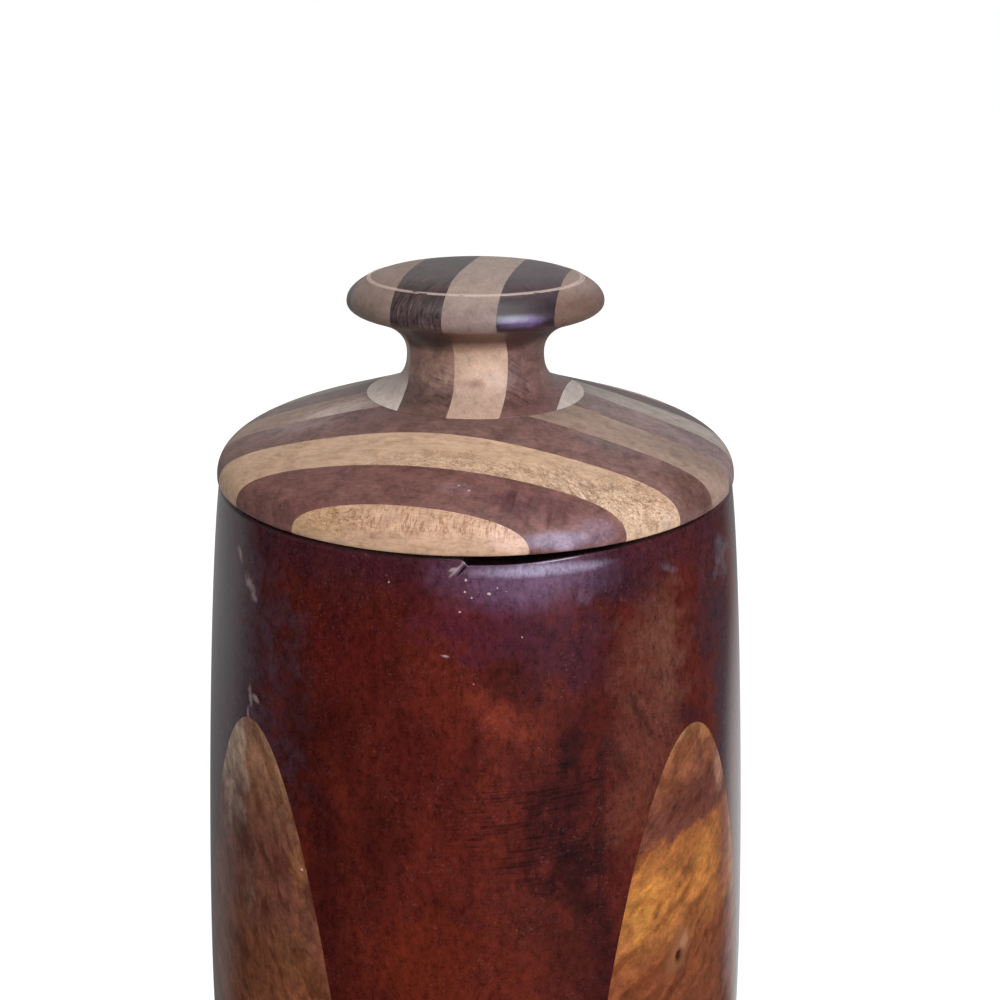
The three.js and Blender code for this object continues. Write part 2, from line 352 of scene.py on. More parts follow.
mark_depth = 14
# The wood's own tones, with painted reflection: the violet and lavender zones at azimuths 6, 17, 27, 30,
# 54, 61, 62, -56 and -63 lay the bluish window and room seen in the wax over the dark red wood.
core_tones_and_sheen = [
    # azimuth, height, half-width and half-height in mm, tip, tone and share
    (-36, 232, 8, 34, 0, tint(46, 16, 18), 0.5),
    (-17, 203, 9, 18, 0, tint(54, 15, 13), 0.5),
    (20, 172, 9, 20, 0, tint(54, 16, 13), 0.6),
    (-26, 244, 13, 15, 0, tint(86, 18, 18), 0.5),
    (6, 252, 27, 14, 0, tint(78, 28, 44), 0.7),
    (17, 244, 15, 13, 0, tint(60, 20, 32), 0.75),
    (-12, 221, 11, 12, 0, tint(70, 15, 13), 0.5),
    (4, 231, 15, 6, 42, tint(122, 46, 28), 0.7),
    (36, 226, 15, 44, 0, tint(92, 46, 34), 0.85),
    (39, 240, 10, 16, 0, tint(108, 66, 50), 0.45),
    (46, 222, 7, 3.5, 30, tint(54, 22, 28), 0.8),
    (61, 228, 8, 48, 0, tint(60, 34, 42), 0.9),
    (54, 246, 8, 26, 0, tint(58, 34, 42), 0.6),
    (-56, 235, 32, 66, 0, tint(74, 46, 54), 0.85),
    (-63, 235, 24, 60, 0, tint(78, 58, 67), 0.8),
    (21, 254.7, 3, 2.4, 0, tint(120, 90, 108), 0.4),
    (41, 256.5, 4, 1.2, 25, tint(112, 90, 98), 0.5),
    (14, 206, 13, 19, 18, tint(52, 12, 13), 0.75),
    (18.5, 194, 8, 15, 0, tint(36, 8, 10), 0.8),
    (10, 183, 10, 11, 0, tint(58, 18, 14), 0.55),
    (27, 257, 8, 8, 0, tint(58, 26, 36), 0.5),
    (18, 223, 4, 8, 24, tint(44, 10, 12), 0.75),
    (-6, 172, 27, 22, 0, tint(104, 34, 14), 0.6),
    (28, 205, 7, 9, 0, tint(106, 52, 37), 0.6),
    (38, 206, 6, 12, 0, tint(80, 32, 22), 0.6),
    (30, 257, 14, 10, 0, tint(50, 22, 34), 0.6),
    (62, 252, 6, 8, 0, tint(104, 92, 100), 0.6),
    (-25, 253, 9, 12, 0, tint(52, 18, 20), 0.4),
    (23.5, 208, 2.0, 24, 2, tint(46, 12, 14), 0.55),
    (33, 226, 10, 1.8, 60, tint(56, 24, 24), 0.5),
    (27.5, 218, 9, 2.0, 66, tint(50, 15, 16), 0.5),
    (24, 176, 4, 20, -4, tint(50, 12, 13), 0.6),
    (-29, 190, 6, 38, -3, tint(50, 11, 12), 0.6),
]
core_specks = [
    # azimuth, and height and radius in mm
    (-16.5, 258.2, 0.24), (2.5, 256.8, 0.42), (-2.9, 253.1, 0.28), (8.7, 247.6, 0.24), (-0.3, 238.1, 0.32),
    (-14.6, 235, 0.27), (-8.2, 235.2, 0.28), (-17.7, 229.5, 0.3), (-15.4, 179.2, 0.38), (-1.8, 259.6, 0.36),
    (-2, 257.2, 0.28), (-0.7, 256, 0.24), (4.1, 257.9, 0.24), (5.8, 257.3, 0.2), (-37, 206, 0.25),
]
core_scuffs = [
    # azimuth, height, half-length and half-width in mm, and tip
    (-56, 254.8, 3.4, 1.2, 52), (-52, 250.2, 4.2, 2.1, 50), (-50.3, 224.6, 3.6, 1.6, 86),
    (-48.2, 224.6, 2.4, 1.3, 20), (-51, 219.5, 2.8, 0.5, 88), (-60.2, 213.4, 2.6, 0.8, 80),
    (-3.5, 261.6, 2.5, 0.35, -46), (-4.2, 261.6, 1.0, 0.4, -20), (-5.6, 243.8, 1.2, 0.35, 8),
]


def core_wood():
    """Dark red-brown hardwood with upright grain, dark streaks across one place, specks and scuffs."""
    wood = Finish("dark red-brown core wood")
    broad = wood.noise((12, 12, 40), 3.1, detail=3.0, warp=0.6)
    fibre = wood.noise((0.8, 0.8, 12), 7.4, detail=4.0, rough=0.6, warp=0.2)
    grain = wood.noise((1.5, 1.5, 2.2), 1.7, detail=5.0, rough=0.9, warp=0.1)
    pores = wood.noise((0.42, 0.42, 0.5), 5.5, detail=2.0, rough=0.6)
    flecks = wood.noise((0.5, 0.5, 0.6), 6.1, detail=2.0, rough=0.6)
    clusters = wood.noise((9, 9, 11), 2.2, detail=3.0, rough=0.6)
    colour = wood.mix(wood.step(broad, 0.34, 0.66), tint(70, 19, 14), tint(92, 30, 19))
    for degrees, level, width, tall, tip, tone, share in core_tones_and_sheen:
        size = (width, mark_depth, tall)
        colour = wood.zone(colour, on_body(degrees, level), size, tone, share, degrees, tip, 2.0)
    lines = wood.noise((12, 12, 0.42), 9.2, turn=14, tip=-3, detail=3.0, rough=0.6, warp=0.4)
    crossed = wood.spot(on_body(11, 207), (20, mark_depth, 20), 11, 0, 3.0)
    colour = wood.shade(colour, wood.times(crossed, wood.step(lines, 0.47, 0.6, 0.8)), (0.36, 0.28, 0.34))
    figure = wood.noise((1.1, 8, 7), 4.2, turn=38, tip=-20, detail=4.0, rough=0.6, warp=1.6)
    figured = wood.spot(on_body(37, 224), (17, mark_depth, 46), 37, 0, 2.0)
    colour = wood.shade(colour, wood.times(figured, wood.step(figure, 0.52, 0.64, 0.5)), (0.5, 0.42, 0.44))
    # A dark violet band all round under the rim: painted reflection of the bluish room in the wax, over the
    # dark red wood.
    under_rim = wood.step(wood.height(16), 252 * MM, 262 * MM, 0.6)
    colour = wood.mix(under_rim, colour, tint(56, 26, 38))
    # A lavender patch below the rim at the front right: painted highlight of the window lamp in the wax.
    window_sheen_place = on_body(9, 260)
    colour = wood.zone(colour, window_sheen_place, (30, mark_depth, 10), tint(122, 96, 128), 0.42, 9, 0, 0.5)
    # A pale lavender line along the rim's worn edge under the gap: painted highlight of the window lamp.
    rim_edge_glint = on_body(12, 261)
    colour = wood.zone(colour, rim_edge_glint, (22, mark_depth, 1.8), tint(184, 170, 194), 0.5, 12, 0, 0.8)
    colour = wood.mottled(colour, grain, 1.6)
    colour = wood.shade(colour, wood.step(fibre, 0.48, 0.68, 0.3), (0.62, 0.5, 0.5))
    colour = wood.shade(colour, wood.step(pores, 0.64, 0.72, 0.48), (0.34, 0.26, 0.28))
    pale = wood.times(wood.step(flecks, 0.56, 0.72, 0.22), wood.step(clusters, 0.4, 0.62))
    colour = wood.mix(pale, colour, tint(150, 104, 112))
    specks = [(on_body(degrees, level, wall(level)), radius) for degrees, level, radius in core_specks]
    colour = wood.specks(colour, specks, tint(206, 170, 168))
    for degrees, level, length, width, tip in core_scuffs:
        size = (length, 3, width)
        colour = wood.zone(colour, on_body(degrees, level, wall(level)), size, tint(168, 146, 146), 0.7,
                           degrees, tip, 3.2)
    # The crack is painted near-black, standing for the shade inside it, and the relief below sinks it as a
    # groove.
    crack = wood.spot(on_body(-2.6, 261.4, wall(261.4)), (2.2, 3, 0.28), -2.6, -48, 0.5)
    colour = wood.mix(wood.times(crack, 0.95), colour, tint(16, 8, 10))
    # The rim's top face, where the lid sits, is painted near-black: painted shadow of the lid in the gap,
    # at half strength all round and nearly full at the front, where the rim has worn low.
    flat = wood.node("VectorMath", {0: wood.place, 1: (1, 1, 0)}, operation="MULTIPLY").outputs[0]
    radius = wood.node("VectorMath", {0: flat}, operation="LENGTH").outputs[1]
    seat = wood.times(wood.step(wood.height(), 260.4 * MM, 260.9 * MM),
                      wood.step(radius, rim_radius - 0.1 * MM, rim_radius - 0.4 * MM))
    open_gap_side = wood.spot(on_body(14, 261), (56, 34, 12), 14)
    gap_shadow = wood.times(seat, wood.maths("ADD", 0.5, wood.times(open_gap_side, 0.46)))
    colour = wood.mix(gap_shadow, colour, tint(16, 9, 11))
    relief = wood.maths("SUBTRACT", wood.times(grain, 0.06), wood.step(pores, 0.62, 0.72, 0.02))
    relief = wood.maths("SUBTRACT", relief, wood.times(crack, 0.3))
    roughness = wood.node("MapRange", {"Value": grain, "From Min": 0.35, "From Max": 0.65,
                                       "To Min": 0.24, "To Max": 0.36}).outputs[0]
    return wood.done(colour, roughness, relief, gloss=0.13, polish=0.9)


body_blank = turned(body_outline(), body_facets)
wear_rim(body_blank)
core_half_width = 62.4 * MM
glue_line = 0.03 * MM
glue_lean = math.radians(1.1)
plank_facing = {"front_left": -49.6, "front_right": 46.8, "back_right": 130.4, "back_left": 226.8}


def glue_face(degrees, side, gap=0.0):
    """The cut along a glue face, which leans out towards the rim. Side is 1 for the core and -1 for the
    plank."""
    outward = heading(degrees) * math.cos(glue_lean) - Vector((0, 0, math.sin(glue_lean)))
    distance = core_half_width + gap - math.sin(glue_lean) * belly_height
    return outward * side, distance * side


core_cuts = [glue_face(degrees, 1) for degrees in plank_facing.values()]
finished("turned_core", sawn(body_blank, core_cuts), "body_core", "body", core_wood())

# Side planks: four boards of a lighter, swirly wood, glued on the sides of the block before turning. The
# lathe left each one as a long leaf with pointed ends, where the belly swells past the glue face.


def plank_wood(side, facing, seed, levels, slant, streaky, zones):
    """Golden brown swirly wood. Levels are the tones up the leaf, slant is how its figure tips, and streaky
    is how strong its upright streaks are."""
    wood = Finish(f"plank wood, {side}")
    swirl = wood.noise((12, 9, 5.5), seed + 3, turn=facing, tip=slant, detail=2.0, rough=0.45, warp=0.8)
    streak = wood.noise((1.2, 1.2, 8), seed + 4, turn=facing, tip=-6, detail=4.0, rough=0.6, warp=0.8)
    grain = wood.noise((3.4, 3.4, 2.8), seed + 6, turn=facing, tip=slant, detail=5.0, rough=0.84, warp=0.1)
    grit = wood.noise((0.4, 0.4, 0.5), seed + 5, detail=3.0, rough=0.6)
    colour = wood.bands(wood.height(14), levels)
    for degrees, level, width, tall, tip, tone, share in zones:
        place = on_body(degrees, level, 67 * MM)
        colour = wood.zone(colour, place, (width, mark_depth, tall), tone, share, degrees, tip, 2.6)
    rings = wood.contours(swirl, 7, 0.3)
    colour = wood.shade(colour, wood.times(rings, 0.18), (0.62, 0.52, 0.46))
    colour = wood.shade(colour, wood.step(swirl, 0.5, 0.62, 0.75), (0.64, 0.54, 0.46))
    colour = wood.shade(colour, wood.step(swirl, 0.47, 0.36, 0.7), (1.3, 1.3, 1.24))
    colour = wood.shade(colour, wood.step(streak, 0.5, 0.66, streaky), (0.6, 0.52, 0.5))
    colour = wood.shade(colour, wood.step(streak, 0.46, 0.34, streaky), (1.3, 1.3, 1.3))
    colour = wood.mottled(colour, grain, 1.4)
    colour = wood.shade(colour, wood.step(grit, 0.58, 0.7, 0.6), (0.5, 0.42, 0.4))
    if side == "front_right":
        for place, size, tone, share, tip, ragged in knot_zones:
            colour = wood.zone(colour, place, size, tone, share, knot_turn, tip, ragged)
    if side == "front_left":
        specks = [(on_body(-34.6, 189.5, 66.4 * MM), 0.45), (on_body(-63, 203, 65.5 * MM), 0.5)]
        colour = wood.specks(colour, specks, tint(214, 190, 176))
    relief = wood.maths("ADD", wood.times(streak, 0.04), wood.times(grit, 0.03))
    relief = wood.maths("SUBTRACT", relief, wood.times(rings, 0.03))
    roughness = wood.maths("MAXIMUM", 0.36, wood.spot(pit_place, (2.4, 8, 2.4)))
    return wood.done(colour, roughness, relief, gloss=0.14, polish=0.8)


plank_levels = {
    "front_left": [(120, tint(132, 78, 52)), (160, tint(128, 73, 48)), (172, tint(120, 70, 52)),
                   (190, tint(122, 70, 56)), (202, tint(136, 88, 66)), (212, tint(164, 116, 88)),
                   (218, tint(150, 108, 86))],
    "front_right": [(100, tint(124, 66, 40)), (150, tint(118, 60, 36)), (165, tint(132, 70, 38)),
                    (172, tint(154, 92, 46)), (181, tint(166, 102, 48)), (190, tint(160, 96, 46)),
                    (193.5, tint(146, 84, 44)), (195.5, tint(108, 58, 44)), (203, tint(100, 52, 40)),
                    (207, tint(122, 68, 46)), (214, tint(136, 80, 52)), (219, tint(154, 106, 70))],
    "back_right": [(60, tint(118, 70, 44)), (120, tint(140, 86, 50)), (150, tint(112, 64, 42)),
                   (176, tint(154, 100, 58)), (205, tint(120, 74, 50)), (216, tint(146, 104, 72))],
    "back_left": [(60, tint(128, 76, 46)), (110, tint(110, 64, 42)), (140, tint(152, 98, 56)),
                  (170, tint(130, 78, 46)), (200, tint(104, 62, 44)), (216, tint(138, 96, 66))],
}
plank_slant = {"front_left": 62, "front_right": -34, "back_right": -20, "back_left": 30}
plank_streaks = {"front_left": 0.45, "front_right": 0.1, "back_right": 0.4, "back_left": 0.5}
plank_zones = {
    # azimuth, height, half-width and half-height in mm, tip, tone and share
    "front_left": [
        (-57, 207, 9, 19, 0, tint(184, 158, 138), 0.8),
        (-54, 196, 6, 10, 0, tint(104, 68, 58), 0.6),
        (-35.5, 188, 3.2, 10, -4, tint(152, 98, 62), 0.75),
        (-36, 166, 8, 9, 0, tint(134, 82, 50), 0.7),
        (-50, 178, 4, 12, 6, tint(120, 90, 80), 0.5),
    ],
    "front_right": [
        (58, 206, 3.5, 13, 0, tint(160, 114, 90), 0.75),
        (50, 208, 2.0, 10, -8, tint(100, 56, 46), 0.6),
        (33, 181, 7, 11, -8, tint(186, 122, 54), 0.7),
        (45, 184.5, 4.6, 3.2, -40, tint(112, 62, 36), 0.75),
        (52, 189, 8, 2.6, -38, tint(182, 120, 56), 0.6),
        (43, 188, 5.5, 2.4, -6, tint(138, 80, 44), 0.65),
        (60, 184, 4.5, 18, 0, tint(126, 66, 50), 0.75),
        (62, 150, 5, 13, 0, tint(132, 98, 92), 0.6),
    ],
}
knot_turn = 42.6
knot_place = on_body(43, 165.8, 67.8 * MM)
ridge_place = on_body(44.3, 167, 67.8 * MM)
pit_place = on_body(knot_turn, 163.9, 67.9 * MM)
knot_zones = [
    # place, size in mm, tone, share, tip and raggedness
    (knot_place, (12, 8, 7.4), tint(104, 56, 36), 0.65, -60, 1.5),
    (knot_place, (9.5, 8, 5), tint(146, 92, 58), 0.75, -60, 1.2),
    (ridge_place, (4.6, 8, 2.4), tint(176, 120, 88), 0.55, -58, 2.0),
    # The two dark spots at the pit are the knot's dark wood, and the darker one, which fills the open hole,
    # is also painted shade inside it.
    (pit_place, (2.0, 8, 2.8), tint(84, 38, 24), 0.9, 12, 0.8),
    (pit_place, (1.3, 8, 1.8), tint(46, 18, 12), 0.9, 12, 0.8),
]


def sink_pit(solid):
    """The small open hole of the knot on the front right leaf, with its raised lip."""
    pit_radius = 1.25 * MM
    pit_depth = 0.55 * MM
    pit_lip_radius = 2.6 * MM
    pit_lip_rise = 0.12 * MM
    near = [face for face in solid.faces if (face.calc_center_median() - pit_place).length < 7 * MM]
    edges = list({edge for face in near for edge in face.edges})
    bmesh.ops.subdivide_edges(solid, edges=edges, cuts=5, use_grid_fill=True)
    inward = -heading(knot_turn)
    for vert in solid.verts:
        far = (vert.co - pit_place).length
        if far < pit_radius:
            vert.co += inward * pit_depth * (1 - smooth_step(far, 0.2 * pit_radius, pit_radius))
        elif far < pit_lip_radius:
            vert.co -= inward * pit_lip_rise * (1 - smooth_step(far, pit_radius, pit_lip_radius))
    for face in solid.faces:
        face.smooth = True


for number, (side, degrees) in enumerate(plank_facing.items()):
    leaf = sawn(body_blank, [glue_face(degrees, -1, glue_line)])
    if side == "front_right":
        sink_pit(leaf)
    wood = plank_wood(side, degrees, 11.0 * number + 2, plank_levels[side], plank_slant[side],
                      plank_streaks[side], plank_zones.get(side, []))
    finished(f"leaf_plank_{side}", leaf, f"side_plank_{side}", "body", wood)
body_blank.free()

# Lid: eleven boards, pale and dark in turn, glued side by side from front to back and turned as one, with a
# thin flange that rests on the rim, a spigot that finds the mouth and a dish turned out underneath.
lid_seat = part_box("lid_strip_06")[0].z + 10 * MM
lid_radius = 60.3 * MM
lid_edge_rounding = 0.7 * MM
lid_rise = 18.3 * MM
lid_thickness = 9 * MM
flank_slope = 17.4
flank_middle = 33 * MM
shoulder_radius = 40.7 * MM
knob_foot_radius = 25.2 * MM
spigot_outer = 51.1 * MM
spigot_inner = 44.1 * MM
spigot_chamfer = 0.8 * MM
spigot_depth = 10 * MM
lid_facets = 384


def lid_outline():
    edge = (lid_radius, lid_seat + lid_edge_rounding)
    flange = (lid_radius - lid_edge_rounding, lid_seat)
    fall = math.tan(math.radians(flank_slope))
    top = lid_seat + lid_rise
    shoulder = (shoulder_radius, top - fall * (shoulder_radius - knob_foot_radius))
    dish = (0, top - lid_thickness)
    dish_edge = (spigot_inner, lid_seat + 1.5 * MM)
    spigot_end = lid_seat - spigot_depth
    return [
        dish,
        *bend(dish, (24 * MM, dish[1]), (spigot_inner, lid_seat + 5.5 * MM), dish_edge, 12),
        (spigot_inner, spigot_end + spigot_chamfer),
        (spigot_inner + spigot_chamfer, spigot_end),
        (spigot_outer - spigot_chamfer, spigot_end),
        (spigot_outer, spigot_end + spigot_chamfer),
        (spigot_outer, lid_seat),
        flange,
        *rounded(flange, (lid_radius, lid_seat), edge),
        *bend(edge, (lid_radius, edge[1] + 6.3 * MM),
              away(shoulder, -flank_slope, 14 * MM), shoulder, 30),
        (flank_middle, top - fall * (flank_middle - knob_foot_radius)),
        (knob_foot_radius, top),
        (0, top),
    ]


strip_roughness = 0.38
strip_gloss = 0.25


def pale_wood(name, seed, turn, levels, zones=(), curls=(), burls=(), worn=None, figure=1.0):
    """Pale pinkish tan wood with streaks and short dark pores along the board. Levels are its tones by
    height, and turn is the way that the board runs. Curls and burls are the places and half-sizes of curly
    marks, and figure is how strong the streaks and pores are. Worn lays marks of wear over the colour."""
    wood = Finish(name)
    broad = wood.noise((30, 5, 5), seed, turn=turn, detail=3.0, warp=0.5)
    fibre = wood.noise((8, 0.45, 0.45), seed + 2, turn=turn, detail=4.0, rough=0.6, warp=0.4)
    mottle = wood.noise((3.4, 2.2, 2.2), seed + 5, turn=turn, detail=5.0, rough=0.7, warp=0.4)
    pores = wood.step(wood.noise((1.2, 0.24, 0.24), seed + 4, turn=turn, detail=2.0), 0.6, 0.7)
    colour = wood.bands(wood.height(1.5), levels)
    for place, size, tone, share in zones:
        colour = wood.zone(colour, place, size, tone, share, turn)
    colour = wood.shade(colour, wood.step(broad, 0.4, 0.64, 0.5 * figure), (0.86, 0.82, 0.78))
    colour = wood.shade(colour, wood.step(fibre, 0.5, 0.64, 0.6 * figure), (0.78, 0.72, 0.62))
    colour = wood.shade(colour, wood.step(fibre, 0.44, 0.32, 0.6 * figure), (1.12, 1.12, 1.12))
    colour = wood.shade(colour, wood.step(mottle, 0.47, 0.32, 0.5 * figure), (0.82, 0.76, 0.72))
    for place, size, lean in curls:
        curl = wood.noise((0.62, 2.6, 2.2), seed + 6, turn=turn + lean, detail=3.0, rough=0.6, warp=1.1)
        inside = wood.spot(place, size, turn, 0, 0.9)
        colour = wood.shade(colour, wood.times(inside, wood.step(curl, 0.52, 0.59, 0.9)), (0.62, 0.5, 0.42))
        colour = wood.shade(colour, wood.times(inside, wood.step(curl, 0.47, 0.4, 0.6)), (1.15, 1.17, 1.2))
    for place, size in burls:
        knot = wood.noise((2.4, 1.6, 1.6), seed + 7, turn=turn, detail=3.0, rough=0.6, warp=1.6)
        inside = wood.spot(place, size, turn, 0, 0.9)
        lines = wood.contours(knot, 4, 0.12)
        colour = wood.shade(colour, wood.times(inside, lines), (0.42, 0.3, 0.24))
        colour = wood.shade(colour, wood.times(inside, wood.step(knot, 0.46, 0.36, 0.6)), (1.16, 1.2, 1.25))
    colour = wood.mottled(colour, mottle, 0.6 * figure)
    colour = wood.shade(colour, wood.times(pores, 0.55 * figure), (0.62, 0.5, 0.42))
    if worn:
        colour = worn(wood, colour)
    relief = wood.maths("SUBTRACT", wood.times(fibre, 0.04), wood.times(pores, 0.03))
    return wood.done(colour, strip_roughness, relief, strip_gloss)


def dark_wood(name, seed, turn, levels, zones=(), ribbons=(), specks=(), gloss=strip_gloss, worn=None):
    """Purple-brown wood with dark blotches and fine pale flecks. Levels are its tones by height, and turn
    is the way that the board runs. Ribbons are the places and half-sizes of light and dark bands across
    it, and worn lays marks of wear over the colour."""
    wood = Finish(name)
    broad = wood.noise((14, 5, 5), seed, turn=turn, detail=3.0, rough=0.55, warp=0.6)
    fibre = wood.noise((5, 0.45, 0.45), seed + 2, turn=turn, detail=4.0, rough=0.6, warp=0.4)
    blotch = wood.noise((4, 3, 3), seed + 3, turn=turn, detail=6.0, rough=0.84, warp=0.5)
    flecks = wood.step(wood.noise((0.6, 0.32, 0.32), seed + 4, turn=turn), 0.62, 0.72)
    colour = wood.bands(wood.height(1.5), levels)
    for place, size, tone, share in zones:
        colour = wood.zone(colour, place, size, tone, share, turn, 0, 0.8)
    for place, size in ribbons:
        ribbon = wood.noise((2.2, 14, 9), seed + 6, turn=turn, detail=2.0, warp=0.3)
        inside = wood.spot(place, size, turn, 0, 0.8)
        colour = wood.shade(colour, wood.times(inside, wood.step(ribbon, 0.5, 0.62)), (0.62, 0.52, 0.54))
        colour = wood.shade(colour, wood.times(inside, wood.step(ribbon, 0.46, 0.36)), (1.2, 1.2, 1.2))
    colour = wood.shade(colour, wood.step(broad, 0.36, 0.64, 0.5), (0.84, 0.78, 0.78))
    colour = wood.shade(colour, wood.step(fibre, 0.48, 0.66, 0.45), (0.72, 0.64, 0.64))
    colour = wood.mottled(colour, blotch, 1.6)
    colour = wood.shade(colour, wood.times(flecks, 0.7), (1.55, 1.6, 1.6))
    colour = wood.specks(colour, specks, tint(206, 180, 174))
    if worn:
        colour = worn(wood, colour)
    relief = wood.maths("ADD", wood.times(fibre, 0.03), wood.times(blotch, 0.03))
    return wood.done(colour, strip_roughness, relief, gloss)


lid_facing = -14.3
lid_board_width = 12 * MM
first_lid_joint = 54.9 * MM
lid_joints = [first_lid_joint - number * lid_board_width for number in range(10)]
lid_front = heading(lid_facing)
lid_blank = turned(lid_outline(), lid_facets)


def board(blank, front, joints, number):
    """Board number, counted from 0 at the front, of a blank glued up from boards."""
    cuts = []
    if number > 0:
        cuts.append((front, joints[number - 1] - glue_line / 2))
    if number < len(joints):
        cuts.append((-front, -joints[number] - glue_line / 2))
    return sawn(blank, cuts)


def on_lid(degrees, radius, height):
    """A point of the lid, to place a mark by. The radius and height are in mm."""
    return heading(degrees) * radius * MM + Vector((0, 0, height * MM))


lid_tones = [
    tint(199, 160, 132), tint(120, 82, 76), tint(202, 168, 140), tint(126, 94, 88), tint(160, 134, 120),
    tint(132, 110, 106), tint(164, 150, 142), tint(100, 80, 78), tint(166, 150, 140), tint(108, 88, 86),
    tint(176, 152, 138),
]
pale_boards = {
    # A zone is place, size, tone and share, a curl is place, size and lean, and a burl is place and size.
    0: {"zones": [(on_lid(8, 59, 268), (12, 6, 5), tint(222, 182, 164), 0.7),
                  (on_lid(-32, 58, 268), (13, 6, 5), tint(200, 160, 118), 0.6)],
        "curls": [(on_lid(-13, 57, 270), (19, 7, 4), 0), (on_lid(2, 57, 270), (9, 6, 4), 0)],
        "burls": [(on_lid(-28, 57, 269), (13, 7, 5))]},
    2: {"zones": [(on_lid(-50, 50, 274), (22, 8, 6), tint(184, 150, 126), 0.6),
                  (on_lid(28, 54, 272), (20, 9, 8), tint(212, 182, 156), 0.6),
                  # The small white spot on the lower edge at azimuth 41 is worn edge with a painted
                  # highlight of the window lamp on it.
                  (on_lid(41, 59.6, 267), (7, 3, 3), tint(228, 206, 190), 0.35)],
        "curls": [(on_lid(22, 50, 273), (26, 9, 9), 50), (on_lid(38, 57, 269), (12, 8, 7), -50)],
        "burls": [(on_lid(32, 54, 271), (26, 12, 9)), (on_lid(-4, 42, 277), (26, 7, 6))]},
    4: {"zones": [(on_lid(-72, 31, 279), (16, 8, 6), tint(206, 186, 178), 0.8),
                  (on_lid(64, 52, 273), (22, 8, 8), tint(132, 110, 100), 0.8)]},
}
dark_boards = {
    # A ribbon is place and size, and a speck is place and radius.
    1: {"zones": [(on_lid(-4, 49.5, 275), (7, 3, 3), tint(138, 104, 104), 0.5),
                  (on_lid(8, 54.5, 272), (4, 4, 3), tint(80, 48, 46), 0.7),
                  (on_lid(-36, 58, 268.5), (10, 8, 5), tint(112, 70, 68), 0.5),
                  (on_lid(12, 54.5, 272.6), (15, 6, 5), tint(100, 64, 66), 0.7),
                  # The two lavender zones along the lower edge, at azimuths 24 and 17, are a painted
                  # highlight of the window lamp.
                  (on_lid(24, 60, 267.4), (12, 4, 4), tint(134, 104, 116), 0.7),
                  (on_lid(17, 61, 266.6), (22, 5, 2.4), tint(166, 152, 180), 0.5)],
        "ribbons": [(on_lid(9, 54, 272.6), (17, 7, 6))],
        "specks": [(on_lid(12.5, 55.5, 271.6), 0.35), (on_lid(15.5, 55, 271.8), 0.45),
                   (on_lid(-4, 48.5, 275.3), 0.3), (on_lid(-1.5, 50, 274.7), 0.3)]},
    3: {"zones": [(on_lid(-74, 42, 277.4), (16, 7, 6), tint(152, 130, 126), 0.7),
                  (on_lid(46, 40, 278), (14, 6, 5), tint(112, 94, 90), 0.7),
                  (on_lid(52, 57, 269), (18, 10, 8), tint(98, 66, 58), 0.85)]},
    5: {"zones": [(on_lid(80, 52.6, 273.6), (12, 7, 7), tint(116, 98, 96), 0.8)]},
}
for number, tone in enumerate(lid_tones):
    name = f"lid board {number + 1}"
    levels = [(264, tone), (284, tone)]
    if number % 2:
        wood = dark_wood(name, 3.3 * number, lid_facing, levels, **dark_boards.get(number, {}))
    else:
        wood = pale_wood(name, 2.7 * number, lid_facing, levels, **pale_boards.get(number, {}))
    finished(f"lid_board_{number + 1:02}", board(lid_blank, lid_front, lid_joints, number),
             f"lid_strip_{number + 1:02}", "lid", wood)
lid_blank.free()

# Knob: six more boards, glued side by side from left to right across the lid's and turned as one, with a
# waist for the fingertips and a broad cap. The waist cuts the last board into a cap end and a foot tongue.
knob_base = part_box("knob_strip_3")[0].z
knob_seat = knob_base - 0.08 * MM
knob_waist = knob_base + 9.4 * MM
cap_lip = knob_waist + 9.4 * MM
cap_edge = cap_lip + 2.5 * MM
cap_ridge = cap_edge + 5.1 * MM
cap_crown = cap_ridge + 2.7 * MM
bead_rise = 0.2 * MM
waist_radius = 15.8 * MM
cap_radius = 29.3 * MM
lip_radius = 26.7 * MM
ridge_radius = 24.8 * MM
knob_facets = 288
knob_facing = -100.9
knob_left = heading(knob_facing)
knob_joints = [distance * MM for distance in (25.5, 13.5, 1.7, -9.7, -20.9)]


def knob_outline():
    foot = (knob_foot_radius, knob_base)
    waist = (waist_radius, knob_waist)
    lip = (lip_radius, cap_lip)
    widest = (cap_radius, cap_edge)
    ridge = (ridge_radius, cap_ridge)
    bead = (ridge_radius - 0.25 * MM, cap_ridge + bead_rise)
    inner = (ridge_radius - 0.6 * MM, cap_ridge + 0.1 * MM)
    crown = (0, cap_crown)
    return [
        (0, knob_seat),
        (knob_foot_radius, knob_seat),
        foot,
        *bend(foot, away(foot, 180 - flank_slope, 6.2 * MM),
              (waist_radius, knob_waist - 6.4 * MM), waist, 16),
        *bend(waist, (waist_radius, knob_waist + 5.9 * MM), away(lip, 199, 5 * MM), lip, 18),
        *bend(lip, away(lip, 19, 1.2 * MM), (cap_radius, cap_edge - 1.3 * MM), widest, 6),
        *bend(widest, (cap_radius, cap_edge + 1.3 * MM), away(ridge, -27, 4.6 * MM), ridge, 16),
        bead,
        inner,
        *bend(inner, away(inner, 153, 5.2 * MM), (12 * MM, cap_crown), crown, 22),
    ]


def worn_ridge(wood, colour):
    """The ridge round the cap has worn through to a pale, slightly broken line."""
    off = wood.maths("ABSOLUTE", wood.maths("SUBTRACT", wood.height(0.12), cap_ridge + bead_rise))
    broken = wood.step(wood.noise((1.6, 1.6, 1.6), 12.5, detail=3.0), 0.3, 0.46, 0.7)
    line = wood.times(wood.step(off, 0.2 * MM, 0.08 * MM), broken)
    return wood.mix(line, colour, tint(206, 182, 170))


